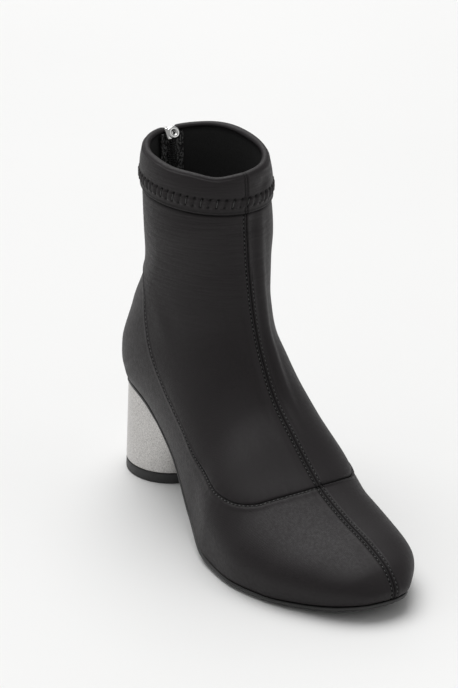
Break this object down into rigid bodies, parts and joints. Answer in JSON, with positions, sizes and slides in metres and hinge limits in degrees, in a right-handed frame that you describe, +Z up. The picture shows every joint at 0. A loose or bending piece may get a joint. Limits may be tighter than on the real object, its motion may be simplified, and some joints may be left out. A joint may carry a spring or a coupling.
{
  "type": "block heel boot",
  "caption": "Ankle boot with a fitted stretch fabric upper, turned collar, back zip with a corded pull, thin sole and an oval metallic block heel.",
  "frame": {"origin": "on the floor, at the middle of the heel's lower face", "axes": "+X from the heel towards the toe, +Y towards the wearer's left (the inner side of this right boot), +Z up"},
  "size_m": [0.241, 0.0926, 0.2031],
  "materials": {
    "stretch_fabric": "black stretch fabric with a soft satin sheen",
    "sole_rubber": "black rubber, matt",
    "insole_board": "black fabric over board",
    "heel_cover": "metallic silver, satin",
    "zip_tape": "black woven tape",
    "zip_coil": "black coil, slight shine",
    "polished_metal": "polished",
    "round_cord": "black round cord"
  },
  "bodies": {
    "boot": {"upper": "stretch_fabric", "outsole": "sole_rubber", "insole": "insole_board", "heel_block": "heel_cover", "heel_top_piece": "sole_rubber", "zip_tape": "zip_tape", "zip_chain": "zip_coil", "zip_slider": "polished_metal"},
    "pull": {"pull_ring": "polished_metal", "pull_cord_outer": "round_cord", "pull_cord_inner": "round_cord", "cord_end_outer": "polished_metal", "cord_end_inner": "polished_metal"}
  },
  "joints": [
    {"name": "pull_swing", "type": "hinge", "parent": "boot", "child": "pull", "pos_m": [-0.00965, 0.00448, 0.195], "axis": [0, 1, 0], "range_deg": [0, 130]}
  ]
}
